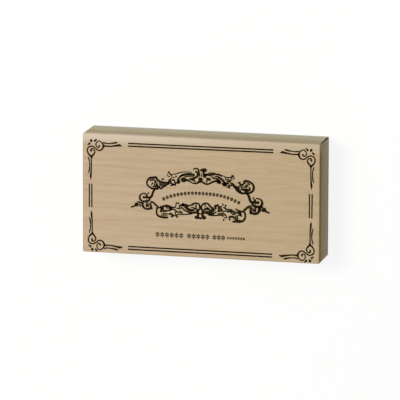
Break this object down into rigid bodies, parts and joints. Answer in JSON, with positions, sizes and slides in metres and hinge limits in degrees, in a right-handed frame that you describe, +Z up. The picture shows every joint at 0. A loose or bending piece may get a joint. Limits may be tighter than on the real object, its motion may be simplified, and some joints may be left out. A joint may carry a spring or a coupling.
{
  "type": "stamp box",
  "caption": "Flat rectangular wooden box with a lift-off lid on an inner lip, filled with rows of small wood-block stamps.",
  "frame": {"origin": "centre of the box's footprint, on the surface that it stands on", "axes": "+X along the box to the right, +Y across the box towards the edge that is uppermost in the picture, +Z up through the printed lid"},
  "size_m": [0.13, 0.065, 0.023],
  "materials": {
    "case_wood": "pale softwood, sanded, with a thin matt lacquer",
    "lip_wood": "thin sawn strips of the same wood, not lacquered",
    "stamp_wood": "fine-grained pale hardwood, cut square and sanded",
    "cushion_foam": "closed-cell foam, matt",
    "die_rubber": "moulded red rubber, satin"
  },
  "bodies": {
    "base": {"base_panel": "case_wood", "base_front_wall": "case_wood", "base_right_wall": "case_wood", "base_back_wall": "case_wood", "base_left_wall": "case_wood", "lip_front": "lip_wood", "lip_right": "lip_wood", "lip_back": "lip_wood", "lip_left": "lip_wood", "stamp_dies_row_1": "die_rubber", "stamp_dies_row_2": "die_rubber", "stamp_dies_row_3": "die_rubber", "stamp_dies_row_4": "die_rubber", "stamp_dies_row_5": "die_rubber", "stamp_foams_row_1": "cushion_foam", "stamp_foams_row_2": "cushion_foam", "stamp_foams_row_3": "cushion_foam", "stamp_foams_row_4": "cushion_foam", "stamp_foams_row_5": "cushion_foam", "stamp_blocks_row_1": "stamp_wood", "stamp_blocks_row_2": "stamp_wood", "stamp_blocks_row_3": "stamp_wood", "stamp_blocks_row_4": "stamp_wood", "stamp_blocks_row_5": "stamp_wood"},
    "lid": {"lid_panel": "case_wood", "lid_front_wall": "case_wood", "lid_right_wall": "case_wood", "lid_back_wall": "case_wood", "lid_left_wall": "case_wood"}
  },
  "joints": [
    {"name": "lid_lift", "type": "slide", "parent": "base", "child": "lid", "axis": [0, 0, 1], "range_m": [0, 0.06]}
  ]
}
